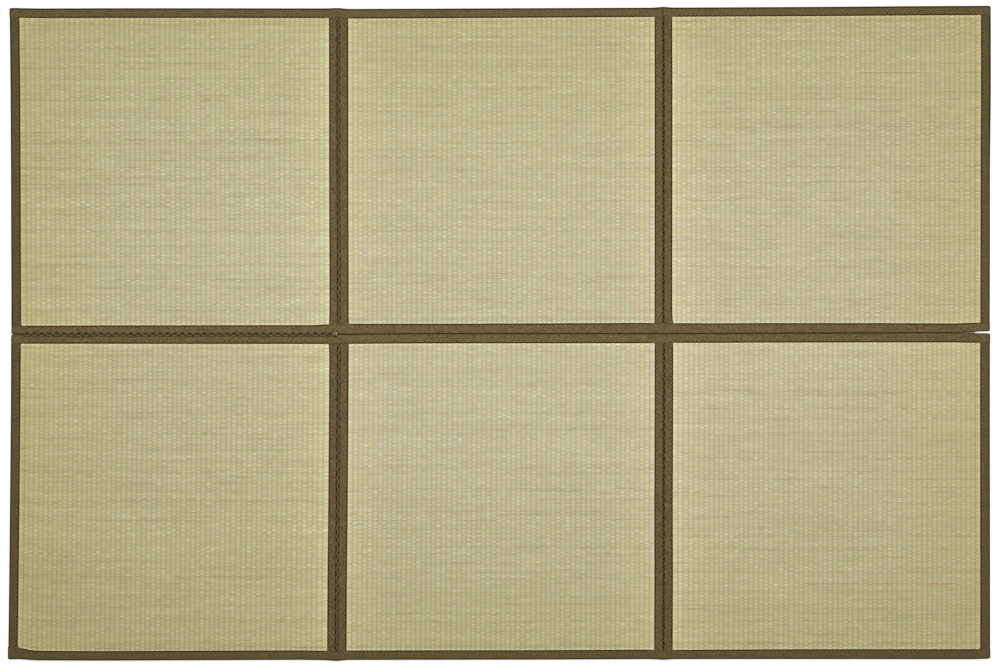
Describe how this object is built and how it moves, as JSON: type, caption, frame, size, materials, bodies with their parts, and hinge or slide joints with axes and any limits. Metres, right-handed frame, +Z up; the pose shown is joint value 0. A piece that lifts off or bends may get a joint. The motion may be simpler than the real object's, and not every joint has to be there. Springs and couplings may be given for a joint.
{
  "type": "folding tatami mat",
  "caption": "Flat folding floor mat of square woven-rush panels, each edge bound with dark cloth tape and the panels sewn edge to edge.",
  "frame": {"origin": "on the floor, under the middle of the mat's bounding box", "axes": "+X along the rows of panels, to the right in the picture; +Y from the near row to the far one; +Z up from the floor"},
  "size_m": [1.8082, 1.2046, 0.015],
  "materials": {
    "rush": "plain-woven dried rush, pale straw green, faintly glossy",
    "tape": "matte woven cotton tape, dark olive brown"
  },
  "bodies": {
    "root": {"panel_back_left": "rush", "panel_back_middle": "rush", "panel_back_right": "rush", "panel_front_left": "rush", "panel_front_middle": "rush", "panel_front_right": "rush", "side_tape_back_1": "tape", "side_tape_back_2": "tape", "side_tape_back_3": "tape", "side_tape_back_4": "tape", "side_tape_back_5": "tape", "side_tape_back_6": "tape", "side_tape_front_1": "tape", "side_tape_front_2": "tape", "side_tape_front_3": "tape", "side_tape_front_4": "tape", "side_tape_front_5": "tape", "side_tape_front_6": "tape", "long_tape_back_far": "tape", "long_tape_back_near": "tape", "long_tape_front_far": "tape", "long_tape_front_near": "tape"}
  },
  "joints": []
}
